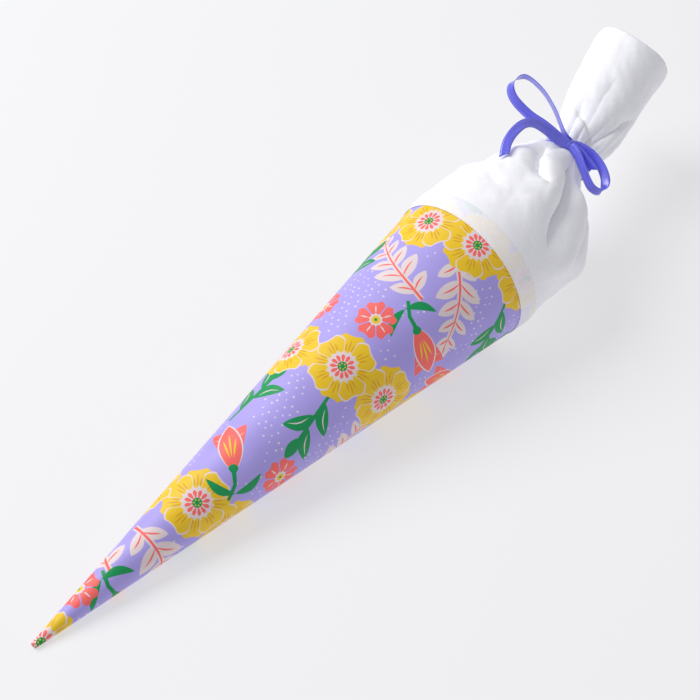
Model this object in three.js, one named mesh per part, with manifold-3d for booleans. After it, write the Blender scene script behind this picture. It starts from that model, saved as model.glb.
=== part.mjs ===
// A school cone: a cone of rolled card, a white paper cuff glued round its mouth, and a satin ribbon
// tied in a bow round the cuff's neck. It lies on its side, as a filled cone is laid on a table.
// Millimetres, +Z up. The cone points along -X, and the floor is z = 0.
import * as THREE from "three";
import { mergeVertices } from "three/addons/utils/BufferGeometryUtils.js";
import Module from "manifold-3d";

// The card cone
const SLANT_LENGTH = 700; // along the card, from the tip's edge to the mouth's edge
const MOUTH_RADIUS = 96; // outside of the card at the mouth
const TIP_RADIUS = 3; // outside of the card at the blunt, open tip
const CARD_THICKNESS = 1;
const SEAM_ANGLE = 212.5; // where the outer edge of the lapped seam runs, low on the far side
const LAP_ANGLE = 10; // how far the card's inner edge runs on under the outer one
const FACETS = 72; // flats round the cone, one of them centred on the floor

// The paper cuff
const PAPER_THICKNESS = 0.5;
const GLUE_BAND = 22; // the cuff's overlap over the card, with the glue under it
const PAPER_CLEARANCE = 0.3;
const NECK_REACH = new THREE.Vector3(208.5, 28, 19); // from the mouth's centre to the neck's
const TAIL_REACH = new THREE.Vector3(191, 49, 30); // from the neck's centre to the tail's open end
const NECK_RADIUS = 33; // the gathered paper under the ribbon
const TAIL_RADIUS = 52; // the tail's open end
const BELLY_RADIUS = 99; // the widest part of the bulge, low on the near side
const FLOOR_SLACK = 12; // how far the slack paper below would hang through the floor
const PLEATS = 9; // gathers round the neck
const PLEAT_PHASE = 90; // sets a pleat's ridge, not its groove, on the floor
const PLEAT_WANDER = 14; // degrees of a pleat's turn by which the pleats stray from an even spacing
const WANDER_PHASE = 40;
const GROOVE_POWER = 1.2; // over 1, a groove is narrower than the ridge beside it
const SLACK_REACH = 0.75; // the share of the belly's length over which the paper is slack below
const SLACK_POWER = 6; // how closely the slack keeps to the underside
const FIRST_FREE_SECTION = 3; // past the card's edge, so that the wrap ends in a short curve
const LOWER_SIDE = -28; // the angle of the near, lower side of the cuff in its section

// The satin ribbon
const RIBBON_WIDTH = 12;
const RIBBON_THICKNESS = 0.8;
const RIBBON_CLEARANCE = 0.4;
const UNION_SLIVER = 0.02; // edges shorter than this, left where straps cross, are closed up
const KNOT_ANGLE = 62; // where the knot sits round the neck: up, and towards the near side
const KNOT_RADIUS = 7;
const BOW_OFFSET = 3; // from the ring round the neck out to where the bow's stretches meet
const KNOT_OFFSET = 4; // from there out to the middle of the knot
const STRAP_STEPS = 3; // sections from one stated place of a stretch to the next
const RING_SECTIONS = 48;
const KNOT_SEGMENTS = [12, 8];

// The floor-level point under the belly, where the cone rests, is the origin.
const REST_BEYOND_MOUTH = 55;

const UP = new THREE.Vector3(0, 0, 1);
const radians = THREE.MathUtils.degToRad;
const FACET_ANGLE = 360 / FACETS;
const APOTHEM = Math.cos(radians(FACET_ANGLE / 2)); // a flat's distance from the axis, for radius 1

const AXIAL_LENGTH = Math.sqrt(SLANT_LENGTH ** 2 - (MOUTH_RADIUS - TIP_RADIUS) ** 2);
const TAPER = (MOUTH_RADIUS - TIP_RADIUS) / AXIAL_LENGTH;

// The card is one sheet rolled into a spiral, so its outside grows by one thickness in a turn.
function turnsPastSeam(angle) {
  return THREE.MathUtils.euclideanModulo(angle - SEAM_ANGLE, 360) / 360;
}
function cardOutside(height, turns) {
  return TIP_RADIUS + height * TAPER + CARD_THICKNESS * turns;
}

// The cone tips over until its tip and its mouth's wrapping both touch the floor.
const FLOOR_TURNS = turnsPastSeam(270);
const WRAP = PAPER_CLEARANCE + PAPER_THICKNESS;
const TIP_FLAT = cardOutside(0, FLOOR_TURNS) * APOTHEM;
const MOUTH_FLAT = (cardOutside(AXIAL_LENGTH, FLOOR_TURNS) + WRAP) * APOTHEM;
const TILT = Math.atan((MOUTH_FLAT - TIP_FLAT) / AXIAL_LENGTH);
const AXIS = new THREE.Vector3(Math.cos(TILT), 0, Math.sin(TILT));
const TIP_CENTRE = new THREE.Vector3(0, 0, TIP_FLAT * Math.cos(TILT));
const MOUTH_CENTRE = TIP_CENTRE.clone().addScaledVector(AXIS, AXIAL_LENGTH);
const REST_POINT = new THREE.Vector3(MOUTH_CENTRE.x + REST_BEYOND_MOUTH, 0, 0);

// A section's own directions: across, to the near side, and rise, upwards.
function sectionFrame(centre, tangent) {
  const across = new THREE.Vector3().crossVectors(tangent, UP).normalize();
  const rise = new THREE.Vector3().crossVectors(across, tangent).normalize();
  return { centre, tangent: tangent.clone().normalize(), across, rise };
}
function pointInSection(frame, angle, radius) {
  return frame.centre.clone()
    .addScaledVector(frame.across, radius * Math.cos(radians(angle)))
    .addScaledVector(frame.rise, radius * Math.sin(radians(angle)));
}
const coneFrame = (height) =>
  sectionFrame(TIP_CENTRE.clone().addScaledVector(AXIS, height), AXIS);

// Triangle builders
class Skin {
  constructor() {
    this.vertices = [];
    this.triangles = [];
  }
  addRing(points) {
    const start = this.vertices.length;
    this.vertices.push(...points);
    return points.map((_, index) => start + index);
  }
  quad(a, b, c, d) {
    this.triangles.push(a, b, c, a, c, d);
  }
  // A band of faces between two rings, facing away from the path when the rings follow it.
  band(first, second, outwards = true) {
    const count = first.length;
    for (let k = 0; k < count; k += 1) {
      const next = (k + 1) % count;
      if (outwards) this.quad(first[k], second[k], second[next], first[next]);
      else this.quad(first[k], first[next], second[next], second[k]);
    }
  }
  geometry() {
    const shape = new THREE.BufferGeometry();
    const numbers = this.vertices.flatMap((v) => [v.x, v.y, v.z]);
    shape.setAttribute("position", new THREE.Float32BufferAttribute(numbers, 3));
    shape.setIndex(this.triangles);
    return shape;
  }
}

// The rolled card's section at a height along the axis, as an outer and an inner loop.
function cardLoops(height) {
  const outer = [];
  const inner = [];
  const lapTurns = 1 - LAP_ANGLE / 360;
  for (let k = 0; k <= FACETS; k += 1) {
    const turns = k / FACETS;
    outer.push({ turns, radius: cardOutside(height, turns) });
  }
  const rolled = outer.filter((point) => point.turns > 0);
  for (const { turns, radius } of rolled) {
    const under = turns > lapTurns + 0.5 / FACETS;
    inner.push({ turns, radius: radius - CARD_THICKNESS * (under ? 2 : 1) });
    if (Math.abs(turns - lapTurns) < 0.5 / FACETS) {
      inner.push({ turns, radius: radius - CARD_THICKNESS * 2 });
    }
  }
  return { outer, inner };
}

function makeCardCone() {
  const skin = new Skin();
  const ends = [0, AXIAL_LENGTH].map((height) => {
    const frame = coneFrame(height);
    const place = ({ turns, radius }) => pointInSection(frame, SEAM_ANGLE + 360 * turns, radius);
    const flat = ({ turns, radius }) => new THREE.Vector2(radius, 0)
      .rotateAround(new THREE.Vector2(), radians(SEAM_ANGLE + 360 * turns));
    const { outer, inner } = cardLoops(height);
    return {
      outer: skin.addRing(outer.map(place)),
      inner: skin.addRing(inner.map(place)),
      faces: THREE.ShapeUtils.triangulateShape(outer.map(flat), [inner.map(flat)]),
    };
  });
  const [tip, mouth] = ends;
  skin.band(tip.outer, mouth.outer);
  skin.band(tip.inner, mouth.inner, false);
  for (const end of ends) {
    const ring = [...end.outer, ...end.inner];
    for (const [a, b, c] of end.faces) {
      const corners = end === mouth ? [a, c, b] : [a, b, c];
      skin.triangles.push(...corners.map((corner) => ring[corner]));
    }
  }
  return skin.geometry();
}

// The cuff's centre line: on along the cone's axis, then bending gently to the far side.
const NECK_CENTRE = MOUTH_CENTRE.clone().add(NECK_REACH);
const TAIL_END = NECK_CENTRE.clone().add(TAIL_REACH);
const NECK_HEADING = NECK_REACH.clone().normalize().add(TAIL_REACH.clone().normalize()).normalize();
const BELLY_LENGTH = NECK_REACH.length();
const TAIL_LENGTH = TAIL_REACH.length();
const bellyPath = new THREE.CubicBezierCurve3(
  MOUTH_CENTRE,
  MOUTH_CENTRE.clone().addScaledVector(AXIS, BELLY_LENGTH / 3),
  NECK_CENTRE.clone().addScaledVector(NECK_HEADING, -BELLY_LENGTH / 3),
  NECK_CENTRE,
);
const tailPath = new THREE.CubicBezierCurve3(
  NECK_CENTRE,
  NECK_CENTRE.clone().addScaledVector(NECK_HEADING, TAIL_LENGTH / 3),
  TAIL_END.clone().addScaledVector(TAIL_REACH, -1 / 3),
  TAIL_END,
);
function cuffFrame(distance) {
  if (distance <= 0) return coneFrame(AXIAL_LENGTH + distance);
  const inBelly = distance < BELLY_LENGTH;
  const path = inBelly ? bellyPath : tailPath;
  const share = inBelly ? distance / BELLY_LENGTH : (distance - BELLY_LENGTH) / TAIL_LENGTH;
  return sectionFrame(path.getPoint(share), path.getTangent(share));
}

// The cuff's half-widths on its upper far side and its lower near side, and how deep its pleats
// cut, at shares of the belly's length and then of the tail's.
const MOUTH_WRAP = MOUTH_RADIUS + WRAP;
const SEAT = (RIBBON_WIDTH / 2 + 2) / BELLY_LENGTH;
const bellyRows = [
  [0.1, MOUTH_WRAP - 1, MOUTH_WRAP - 2, 0],
  [0.25, MOUTH_WRAP - 4, BELLY_RADIUS - 2, 0.02],
  [0.4, MOUTH_WRAP - 12, BELLY_RADIUS, 0.05],
  [0.51, MOUTH_WRAP - 17, BELLY_RADIUS - 9, 0.1],
  [0.62, MOUTH_WRAP - 21, BELLY_RADIUS - 21, 0.17],
  [0.76, NECK_RADIUS + 32, NECK_RADIUS + 17, 0.35],
  [0.88, NECK_RADIUS + 17, NECK_RADIUS + 5, 0.6],
  [1 - SEAT, NECK_RADIUS, NECK_RADIUS, 0.8],
];
const tailRows = [
  [SEAT, NECK_RADIUS, NECK_RADIUS, 0.8],
  [0.12, NECK_RADIUS + 2, NECK_RADIUS + 7, 0.6],
  [0.26, TAIL_RADIUS - 11, TAIL_RADIUS - 6, 0.38],
  [0.45, TAIL_RADIUS - 6, TAIL_RADIUS - 5, 0.26],
  [0.7, TAIL_RADIUS - 3, TAIL_RADIUS - 4, 0.18],
  [1, TAIL_RADIUS, TAIL_RADIUS, 0.14],
];
const PROFILE = [
  ...bellyRows.map(([share, ...row]) => [share * BELLY_LENGTH, ...row]),
  ...tailRows.map(([share, ...row]) => [BELLY_LENGTH + share * TAIL_LENGTH, ...row]),
];

// One pleat is a narrow ridge and a broader groove; the pleats wander a little round the neck.
function pleatDepth(angle) {
  const wander = PLEAT_WANDER * Math.sin(radians(angle * 2 + WANDER_PHASE));
  const turn = radians(PLEATS * angle + wander + PLEAT_PHASE);
  return (0.5 - 0.5 * Math.cos(turn)) ** GROOVE_POWER;
}
function cuffOutside(distance, angle, row) {
  if (!row) {
    const turns = turnsPastSeam(angle) || 1; // the paper goes over the seam's outer edge
    return cardOutside(AXIAL_LENGTH + Math.min(distance, 0), turns) + WRAP;
  }
  const [, farSide, nearSide, depth] = row;
  const lean = Math.cos(radians(angle - LOWER_SIDE));
  const below = Math.max(0, -Math.sin(radians(angle))) ** SLACK_POWER;
  const along = Math.min(1, distance / (SLACK_REACH * BELLY_LENGTH));
  const slack = FLOOR_SLACK * below * Math.sin(Math.PI * along);
  const round = (farSide + nearSide) / 2 + ((nearSide - farSide) / 2) * lean;
  return (round + Math.max(0, slack)) * (1 - depth * pleatDepth(angle));
}

// Halfway rows, on the cubic through the four nearest ones, keep the bulge smooth.
function smoothRows() {
  return PROFILE.flatMap((row, index) => {
    const next = PROFILE[index + 1];
    if (!next || next[0] - row[0] <= RIBBON_WIDTH * 1.5) return [row];
    const before = PROFILE[Math.max(index - 1, 0)];
    const after = PROFILE[index + 2] ?? next;
    const halfway = row.map((value, column) =>
      (9 * (value + next[column]) - before[column] - after[column]) / 16);
    return [row, halfway];
  });
}

function makePaperCuff() {
  const skin = new Skin();
  const angles = Array.from({ length: FACETS }, (_, k) => SEAM_ANGLE + k * FACET_ANGLE);
  const stations = [
    { distance: -GLUE_BAND },
    { distance: 0 },
    { distance: FIRST_FREE_SECTION },
    ...smoothRows().map((row) => ({ distance: row[0], row })),
  ];
  const outside = stations.map(({ distance, row }) => {
    const frame = cuffFrame(distance);
    return angles.map((angle) => {
      const point = pointInSection(frame, angle, cuffOutside(distance, angle, row));
      point.z = Math.max(point.z, 0);
      return point;
    });
  });
  const outwardNormal = (i, k) => {
    const before = outside[Math.max(i - 1, 0)][k];
    const after = outside[Math.min(i + 1, outside.length - 1)][k];
    const left = outside[i][(k + FACETS - 1) % FACETS];
    const right = outside[i][(k + 1) % FACETS];
    return new THREE.Vector3()
      .crossVectors(after.clone().sub(before), right.clone().sub(left))
      .normalize();
  };
  const inside = outside.map((ring, i) => ring.map((point, k) =>
    point.clone().addScaledVector(outwardNormal(i, k), -PAPER_THICKNESS)));
  const outerRings = outside.map((ring) => skin.addRing(ring));
  const innerRings = inside.map((ring) => skin.addRing(ring));
  for (let i = 0; i + 1 < stations.length; i += 1) {
    skin.band(outerRings[i], outerRings[i + 1]);
    skin.band(innerRings[i], innerRings[i + 1], false);
  }
  skin.band(innerRings[0], outerRings[0]);
  skin.band(outerRings.at(-1), innerRings.at(-1));
  return skin.geometry();
}

// The bow is laid out round the knot: across, to the right as the bow is looked at from the near
// side and above; rise, up in that view; and toward, towards the viewer.
const VIEW_HEADING = -46.4;
const VIEW_ELEVATION = 44.2;
const toward = new THREE.Vector3(0, -1, 0)
  .applyAxisAngle(new THREE.Vector3(-1, 0, 0), radians(VIEW_ELEVATION))
  .applyAxisAngle(UP, radians(VIEW_HEADING));
const across = new THREE.Vector3(1, 0, 0).applyAxisAngle(UP, radians(VIEW_HEADING));
const rise = new THREE.Vector3().crossVectors(toward, across);
const inBow = ([x, y, z]) => new THREE.Vector3()
  .addScaledVector(across, x).addScaledVector(rise, y).addScaledVector(toward, z);

const neckFrame = cuffFrame(BELLY_LENGTH);
const RING_RADIUS = NECK_RADIUS + RIBBON_CLEARANCE + RIBBON_THICKNESS / 2;
const KNOT_CENTRE = pointInSection(neckFrame, KNOT_ANGLE, RING_RADIUS + BOW_OFFSET);

// Each stretch of the bow: its middle line, and the direction of its width along it.
const bowStretches = {
  leftLoop: {
    line: [
      [0, 2, 0], [-8, 16, 2], [-20, 44, 6], [-36, 68, 9], [-56, 83, 10], [-72, 74, 9],
      [-70, 58, 8], [-52, 38, 8], [-32, 24, 8], [-12, 8, 6], [0, 0, 4],
    ],
    width: [
      [0.5, 0.8, 0.2], [0.3, 0.2, 1], [0.3, 0, 1], [0.2, 0.2, 1], [0, 0.4, 1], [0.6, 0.2, 0.8],
      [0.8, 0.3, 0.5], [0.6, 0.75, 0.2], [0.5, 0.8, 0.1], [0.5, 0.8, 0.2], [0.5, 0.8, 0.2],
    ],
  },
  leftTail: {
    line: [
      [0, 0, 6], [-16, 6, 12], [-31, 18, 20], [-46, 27, 30], [-60, 26, 41], [-73, 15, 53],
      [-82, 1, 63], [-86, -16, 72],
    ],
    width: [
      [0.5, 0.8, 0.2], [0.5, 0.8, 0.1], [0.3, 0.9, 0], [0, 1, 0], [-0.5, 0.8, -0.2],
      [-0.7, 0.6, -0.2], [-0.9, 0.3, -0.2], [-0.95, 0.1, -0.2],
    ],
  },
  rightLoop: {
    line: [
      [0, 0, 7], [8, -13, 11], [15, -33, 14], [24, -52, 15], [36, -57, 12], [42, -44, 9],
      [37, -26, 6], [25, -10, 3], [10, -1, 1], [0, 0, 0],
    ],
    width: [
      [0.8, 0.4, 0.4], [0.8, 0.3, 0.6], [0.7, 0.2, 0.7], [0.6, 0.5, 0.6], [0.5, 0.6, 0.7],
      [0.9, 0.1, 0.4], [0.8, 0.2, 0.4], [0.6, 0.5, 0.4], [0.6, 0.7, 0.2], [0.6, 0.7, 0.1],
    ],
  },
  rightTail: {
    line: [[0, 0, 4], [10, -8, 6], [18, -18, 8], [27, -30, 9]],
    width: [[0.6, 0.7, 0.3], [0.6, 0.6, 0.5], [0.7, 0.5, 0.5], [0.7, 0.4, 0.6]],
  },
};

// A strap is a flat section carried along a line of centres, with its width turned as stated.
function strapGeometry(centres, widths, closed) {
  const skin = new Skin();
  const count = centres.length;
  const rings = centres.map((centre, i) => {
    const before = centres[closed ? (i + count - 1) % count : Math.max(i - 1, 0)];
    const after = centres[closed ? (i + 1) % count : Math.min(i + 1, count - 1)];
    const along = after.clone().sub(before).normalize();
    const face = new THREE.Vector3().crossVectors(along, widths[i]).normalize();
    const width = new THREE.Vector3().crossVectors(face, along).normalize();
    const corner = (w, f) => centre.clone()
      .addScaledVector(width, (w * RIBBON_WIDTH) / 2)
      .addScaledVector(face, (f * RIBBON_THICKNESS) / 2);
    return skin.addRing([corner(1, 1), corner(1, -1), corner(-1, -1), corner(-1, 1)]);
  });
  for (let i = 0; i + 1 < count; i += 1) skin.band(rings[i], rings[i + 1]);
  if (closed) {
    skin.band(rings.at(-1), rings[0]);
  } else {
    const [start, end] = [rings[0], rings.at(-1)];
    skin.quad(start[0], start[1], start[2], start[3]);
    skin.quad(end[3], end[2], end[1], end[0]);
  }
  return skin.geometry();
}

function bowStrap({ line, width }) {
  const steps = (line.length - 1) * STRAP_STEPS;
  const middle = new THREE.CatmullRomCurve3(line.map(inBow));
  const turning = new THREE.CatmullRomCurve3(width.map(inBow));
  const centres = [];
  const widths = [];
  for (let i = 0; i <= steps; i += 1) {
    centres.push(middle.getPoint(i / steps).add(KNOT_CENTRE));
    widths.push(turning.getPoint(i / steps).normalize());
  }
  // A loop comes back to the knot, so it is made in two halves that meet at its far end.
  const half = Math.round(steps / 2);
  const returns = centres[0].distanceTo(centres[steps]) < RIBBON_WIDTH;
  const spans = returns ? [[0, half], [half, steps]] : [[0, steps]];
  return spans.map(([start, end]) =>
    strapGeometry(centres.slice(start, end + 1), widths.slice(start, end + 1), false));
}

function neckStrap() {
  const centres = [];
  const widths = [];
  for (let k = 0; k < RING_SECTIONS; k += 1) {
    centres.push(pointInSection(neckFrame, (360 * k) / RING_SECTIONS, RING_RADIUS));
    widths.push(neckFrame.tangent);
  }
  return strapGeometry(centres, widths, true);
}

function knotGeometry() {
  const knot = new THREE.SphereGeometry(KNOT_RADIUS, ...KNOT_SEGMENTS);
  const turn = new THREE.Matrix4().makeBasis(neckFrame.rise, neckFrame.across, neckFrame.tangent);
  knot.applyMatrix4(turn);
  const seat = KNOT_CENTRE.clone().sub(neckFrame.centre).normalize();
  const centre = KNOT_CENTRE.clone().addScaledVector(seat, KNOT_OFFSET);
  return knot.translate(centre.x, centre.y, centre.z);
}

const wasm = await Module();
wasm.setup();

function toSolid(geometry) {
  const bare = geometry.clone();
  bare.deleteAttribute("normal");
  bare.deleteAttribute("uv");
  const merged = mergeVertices(bare);
  return new wasm.Manifold(new wasm.Mesh({
    numProp: 3,
    vertProperties: new Float32Array(merged.getAttribute("position").array),
    triVerts: new Uint32Array(merged.getIndex().array),
  }));
}
function fromSolid(solid) {
  const mesh = solid.getMesh();
  const shape = new THREE.BufferGeometry();
  shape.setAttribute("position", new THREE.BufferAttribute(new Float32Array(mesh.vertProperties), 3));
  shape.setIndex(new THREE.BufferAttribute(new Uint32Array(mesh.triVerts), 1));
  return shape;
}

// Where the straps cross in the knot they shut in pockets, which a pulled knot doesn't have, so
// only the largest body is kept.
function outerSkin(solid) {
  const [largest] = solid.decompose().sort((a, b) => b.volume() - a.volume());
  return fromSolid(largest.simplify(UNION_SLIVER));
}

function makeSatinRibbon() {
  const pieces = [neckStrap(), knotGeometry(), ...Object.values(bowStretches).flatMap(bowStrap)];
  const [first, ...rest] = pieces.map(toSolid);
  return outerSkin(rest.reduce((whole, piece) => whole.add(piece), first));
}

function addPiece(parent, name, geometry, look) {
  geometry.computeVertexNormals();
  const mesh = new THREE.Mesh(geometry, new THREE.MeshStandardMaterial(look));
  mesh.name = name;
  parent.add(mesh);
}

const lying = new THREE.Group();
lying.position.copy(REST_POINT).negate();
addPiece(lying, "card_cone", makeCardCone(), { color: 0xb2a6e8, roughness: 0.55, metalness: 0 });
addPiece(lying, "paper_cuff", makePaperCuff(), { color: 0xf6f5fb, roughness: 0.9, metalness: 0 });
addPiece(lying, "satin_ribbon", makeSatinRibbon(), { color: 0x5a5adc, roughness: 0.3, metalness: 0 });

const schoolCone = new THREE.Group();
schoolCone.add(lying);
export default schoolCone;
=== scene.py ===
# %% [markdown]
# # A school cone
# A cone of rolled, printed card holds the sweets for a child's first day at school. Its mouth is closed
# with a cuff of soft white paper, gathered and tied with a satin ribbon. This lesson dresses the three
# plain solids of the model: it prints the card, folds the paper and ties the ribbon.

# %% Load the frame
import math
import random

import bmesh
import bpy
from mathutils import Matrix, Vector
from mathutils.geometry import delaunay_2d_cdt


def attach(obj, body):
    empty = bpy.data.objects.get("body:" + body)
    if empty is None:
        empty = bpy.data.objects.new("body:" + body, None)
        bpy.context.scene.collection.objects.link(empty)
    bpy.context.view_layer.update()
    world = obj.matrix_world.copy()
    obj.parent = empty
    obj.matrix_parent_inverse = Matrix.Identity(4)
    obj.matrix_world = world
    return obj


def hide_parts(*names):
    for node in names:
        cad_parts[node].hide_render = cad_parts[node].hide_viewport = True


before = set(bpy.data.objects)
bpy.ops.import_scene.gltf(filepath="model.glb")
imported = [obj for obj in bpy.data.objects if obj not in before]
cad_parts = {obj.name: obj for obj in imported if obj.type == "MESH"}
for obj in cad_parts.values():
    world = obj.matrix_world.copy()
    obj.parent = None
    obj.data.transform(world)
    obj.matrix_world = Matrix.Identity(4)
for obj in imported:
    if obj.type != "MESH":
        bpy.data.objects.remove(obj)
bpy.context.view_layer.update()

MM = 0.001
print("nodes:", sorted(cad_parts))

# %% [markdown]
# ## Where the cone lies
# All sizes are in millimetres, as on a maker's drawing, and are turned into metres when a mesh is
# written. The cone lies on the floor, tip towards -X, so its axis rises by a small angle.

# %% The card's sizes and its axis
SLANT_LENGTH = 700
MOUTH_RADIUS = 96
TIP_RADIUS = 3
CARD_THICKNESS = 1
SEAM_ANGLE = 212.5
LAP_ANGLE = 10
PAPER_THICKNESS = 0.5
GLUE_BAND = 22
PAPER_CLEARANCE = 0.3
REST_BEYOND_MOUTH = 55
FLAT_ANGLE = 2.5  # half of one of the solid's 72 flats

AXIAL_LENGTH = math.sqrt(SLANT_LENGTH**2 - (MOUTH_RADIUS - TIP_RADIUS) ** 2)
TAPER = (MOUTH_RADIUS - TIP_RADIUS) / AXIAL_LENGTH
WRAP = PAPER_CLEARANCE + PAPER_THICKNESS


def turns_past_seam(angle):
    return ((angle - SEAM_ANGLE) % 360) / 360


def card_outside(height, turns):
    return TIP_RADIUS + height * TAPER + CARD_THICKNESS * turns


flat_share = math.cos(math.radians(FLAT_ANGLE))
tip_flat = card_outside(0, turns_past_seam(270)) * flat_share
mouth_flat = (card_outside(AXIAL_LENGTH, turns_past_seam(270)) + WRAP) * flat_share
tilt = math.atan((mouth_flat - tip_flat) / AXIAL_LENGTH)
AXIS = Vector((math.cos(tilt), 0, math.sin(tilt)))
TIP_CENTRE = Vector((-REST_BEYOND_MOUTH - AXIAL_LENGTH * AXIS.x, 0, tip_flat * math.cos(tilt)))
MOUTH_CENTRE = TIP_CENTRE + AXIS * AXIAL_LENGTH


def section_frame(centre, tangent):
    tangent = tangent.normalized()
    across = tangent.cross(Vector((0, 0, 1))).normalized()
    return centre, across, across.cross(tangent).normalized()


def point_in_section(section, angle, radius):
    centre, across, rise = section
    turn = math.radians(angle)
    return centre + across * (radius * math.cos(turn)) + rise * (radius * math.sin(turn))


print("the cone's axis rises by", round(math.degrees(tilt), 2), "degrees")

# %% [markdown]
# ## The camera and the light
# The camera looks down on the cone from the near side of its tip. It is set first, because the folds
# and the bow are judged from there. One large soft lamp from the upper left models the folds, and the
# pale world fills the shade.

# %% The camera
LENS_IN_FRAME_WIDTHS = 2000 / 700
SENSOR = 36
CAMERA_AT = Vector((-1440.2, -1117.9, 1674.2))
CAMERA_HEADING = -46.44
CAMERA_ELEVATION = 44.21

lens = bpy.data.cameras.new("camera")
lens.sensor_width = SENSOR
lens.lens = SENSOR * LENS_IN_FRAME_WIDTHS
lens.clip_end = 50
camera = bpy.data.objects.new("camera", lens)
camera.location = CAMERA_AT * MM
camera.rotation_euler = (math.radians(90 - CAMERA_ELEVATION), 0, math.radians(CAMERA_HEADING))
bpy.context.scene.collection.objects.link(camera)
bpy.context.scene.camera = camera
bpy.context.scene.view_settings.view_transform = "Standard"


# %% A material helper
def linear(red, green, blue):
    """A colour as it is seen, from 0 to 255, as Blender's sockets want it."""
    def one(value):
        value /= 255
        return value / 12.92 if value <= 0.04045 else ((value + 0.055) / 1.055) ** 2.4
    return one(red), one(green), one(blue), 1


def new_material(name):
    material = bpy.data.materials.new(name)
    material.use_nodes = True
    nodes = material.node_tree.nodes
    return material, nodes, material.node_tree.links, nodes["Principled BSDF"]


def new_piece(name, builder, materials):
    mesh = bpy.data.meshes.new(name)
    builder.to_mesh(mesh)
    builder.free()
    piece = bpy.data.objects.new(name, mesh)
    bpy.context.scene.collection.objects.link(piece)
    for material in materials:
        mesh.materials.append(material)
    mesh.shade_smooth()
    print(name, len(mesh.polygons), "faces")
    return piece


# %% [markdown]
# ### The floor
# The floor glows a little, as a light table does, so that the shadows on it stay pale. It is large, so
# that its far edge stays out of a low view.

# %% The floor
FLOOR_HALF = 30  # metres
FLOOR_GLOW = 0.55
builder = bmesh.new()
bmesh.ops.create_grid(builder, x_segments=1, y_segments=1, size=FLOOR_HALF)
floor_paint, _, _, shader = new_material("floor_paint")
shader.inputs["Base Color"].default_value = linear(154, 154, 157)
shader.inputs["Emission Color"].default_value = (1, 1, 1, 1)
shader.inputs["Emission Strength"].default_value = FLOOR_GLOW
shader.inputs["Roughness"].default_value = 0.9
floor = new_piece("floor", builder, [floor_paint])

# %% The light
world = bpy.data.worlds.new("world")
world.use_nodes = True
sky = world.node_tree.nodes["Background"]
sky.inputs["Color"].default_value = (0.94, 0.94, 1, 1)
sky.inputs["Strength"].default_value = 0.47
bpy.context.scene.world = world

soft_box = bpy.data.lights.new("soft_box", "AREA")
soft_box.shape = "DISK"
soft_box.size = 3.4
soft_box.energy = 158
lamp = bpy.data.objects.new("soft_box", soft_box)
lamp.location = (-1.3, 2.6, 3.4)
lamp.rotation_euler = (Vector((-0.1, 0, 0)) - lamp.location).to_track_quat("-Z", "Y").to_euler()
bpy.context.scene.collection.objects.link(lamp)

# %% [markdown]
# ## The print
# The card is printed flat and rolled afterwards, so the print is laid out on the flat sheet too: a fan
# whose centre is the point of the cone. Every motif is an outline in the sheet's plane. A constrained
# triangulation cuts the sheet along all the outlines, and each piece of it takes the colour of the
# topmost motif that covers it. That keeps every edge of the print crisp, from any distance.

# %% The flat sheet
SHEET_SHARE = (MOUTH_RADIUS - TIP_RADIUS) / SLANT_LENGTH  # a turn on the sheet, for a turn of the cone
SHEET_START = TIP_RADIUS / SHEET_SHARE  # from the fan's centre to the tip's edge
SHEET_END = SHEET_START + SLANT_LENGTH
GRID_STEP = 2.5  # degrees of the cone between two cuts along it

GROUND, LEAF, PALE, YELLOW, OCHRE, CORAL, DOT = range(7)


def on_sheet(reach, angle):
    turn = math.radians(angle * SHEET_SHARE)
    return Vector((reach * math.cos(turn), reach * math.sin(turn)))


# %% Outlines for the motifs
def almond(start, end, width, bend=0.0, points=9):
    """A leaf from start to end, pointed at both ends, widest in the middle."""
    along = end - start
    side = Vector((-along.y, along.x)).normalized()
    edge = []
    for step in range(points + 1):
        share = step / points
        middle = start + along * share + side * (bend * math.sin(math.pi * share))
        edge.append((middle, side * (width / 2 * math.sin(math.pi * share) ** 0.8)))
    return [m + w for m, w in edge] + [m - w for m, w in edge[-2:0:-1]]


def petal(centre, angle, inner, outer, width, notch=0.0, points=8):
    """A round-ended petal that grows out of centre, with an optional notch in its end."""
    along = Vector((math.cos(angle), math.sin(angle)))
    side = Vector((-along.y, along.x))
    belly = inner + (outer - inner) * 0.62
    left = []
    for step in range(points + 1):
        turn = math.pi / 2 * step / points
        grow = math.sin(turn)
        left.append(along * (inner + (belly - inner) * grow) + side * (width / 2 * grow**0.9))
    for step in range(1, points + 1):
        turn = math.pi / 2 * step / points
        reach = belly + (outer - belly) * math.sin(turn)
        dip = notch * max(0.0, math.sin(turn) - 0.8) * 5
        left.append(along * (reach - dip) + side * (width / 2 * math.cos(turn)))
    mirrored = [along * p.dot(along) - side * p.dot(side) for p in left[-2:0:-1]]
    return [centre + p for p in left + mirrored]


def disc(centre, radius, points=14, scallop=0.0, lobes=1):
    ring = []
    for step in range(points):
        turn = 2 * math.pi * step / points
        grow = radius * (1 + scallop * math.cos(lobes * turn))
        ring.append(centre + Vector((math.cos(turn), math.sin(turn))) * grow)
    return ring


def stroke(points, widths):
    """A line of varying width through a few points."""
    left, right = [], []
    for index, point in enumerate(points):
        before = points[max(index - 1, 0)]
        after = points[min(index + 1, len(points) - 1)]
        along = (after - before).normalized()
        side = Vector((-along.y, along.x)) * (widths[index] / 2)
        left.append(point + side)
        right.append(point - side)
    return left + right[::-1]


def heading(angle):
    return Vector((math.cos(angle), math.sin(angle)))


# %% [markdown]
# ### The motifs
# The flowers are plain garden kinds: a daisy with eight broad petals, a tulip, a small five-petalled
# blossom, a sprig with paired leaflets and a pair of leaves. Each returns its outlines from the bottom
# colour to the top one.

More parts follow.
